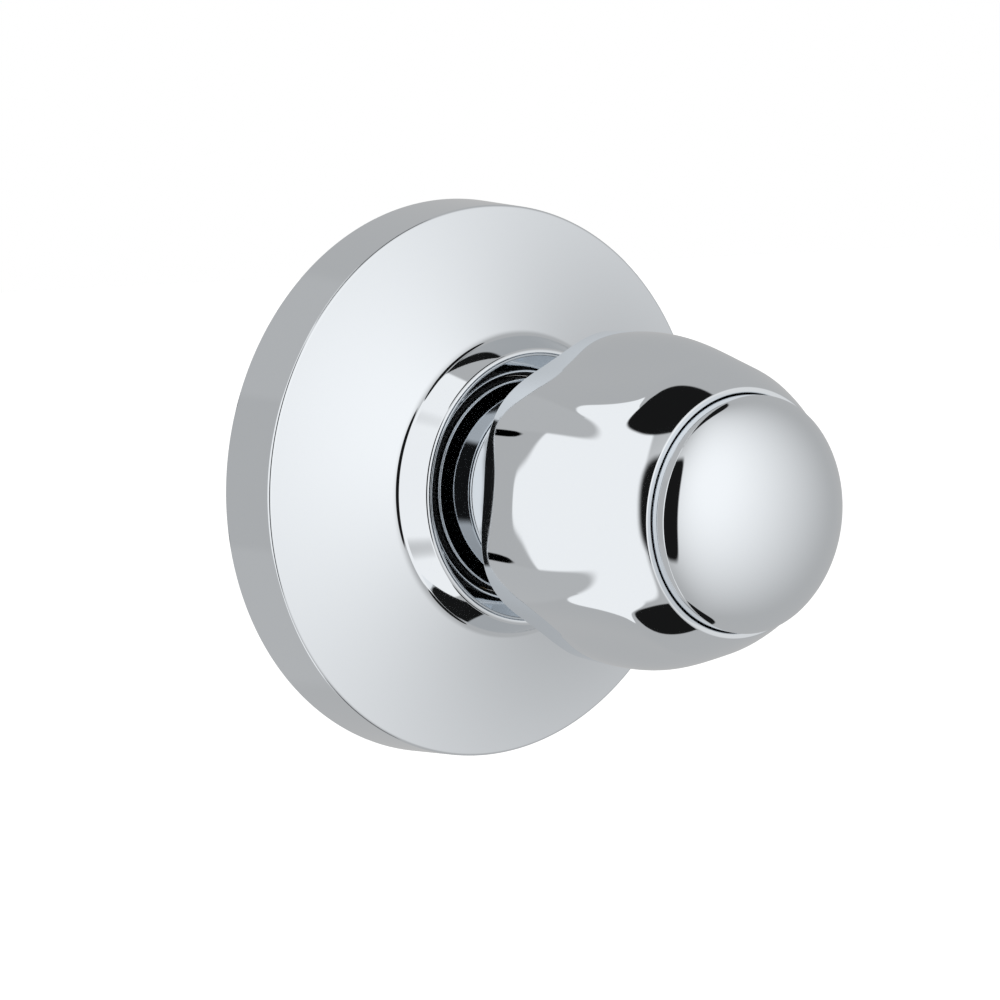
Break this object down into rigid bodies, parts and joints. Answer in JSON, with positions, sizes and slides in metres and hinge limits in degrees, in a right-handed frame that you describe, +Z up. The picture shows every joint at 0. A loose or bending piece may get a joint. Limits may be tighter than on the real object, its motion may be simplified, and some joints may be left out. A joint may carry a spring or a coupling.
{
  "type": "flush cock",
  "caption": "Flush cock for a wall: brass valve body hidden behind a deep chrome wall flange, turned by a scalloped chrome knob with a domed cap.",
  "frame": {"origin": "centre of the wall flange's back face, on the spindle's axis", "axes": "-Y points out of the wall along the spindle's axis, +Z is up and +X is to the right as seen from the front"},
  "size_m": [0.086, 0.1104, 0.086],
  "materials": {
    "chrome": "polished",
    "brass": "satin",
    "steel": "satin",
    "rubber": "matte",
    "nylon": "matte"
  },
  "bodies": {
    "cock": {"valve_body": "brass", "headwork": "brass", "headwork_seal": "nylon", "sleeve": "chrome"},
    "flange": {"wall_flange": "chrome", "flange_ring": "rubber"},
    "knob": {"spindle": "brass", "spindle_ring_inner": "rubber", "spindle_ring_outer": "rubber", "thrust_washer": "nylon", "circlip": "steel", "knob_shell": "chrome", "knob_screw": "steel", "screw_washer": "steel", "knob_cap": "chrome", "cap_ring": "rubber"},
    "plug": {"plug_carrier": "brass", "seat_washer": "rubber", "washer_plate": "brass", "washer_screw": "steel"}
  },
  "joints": [
    {"name": "knob_turn", "type": "hinge", "parent": "cock", "child": "knob", "pos_m": [0, 0, 0], "axis": [0, -1, 0], "range_deg": [0, 180]},
    {"name": "plug_lift", "type": "slide", "parent": "cock", "child": "plug", "axis": [0, -1, 0], "range_m": [0, 0.007]},
    {"name": "flange_slide", "type": "slide", "parent": "cock", "child": "flange", "axis": [0, -1, 0], "range_m": [0, 0.015]}
  ],
  "couplings": [
    {"joint": "plug_lift", "follows": "knob_turn", "m_per_rad": 0.002228}
  ]
}
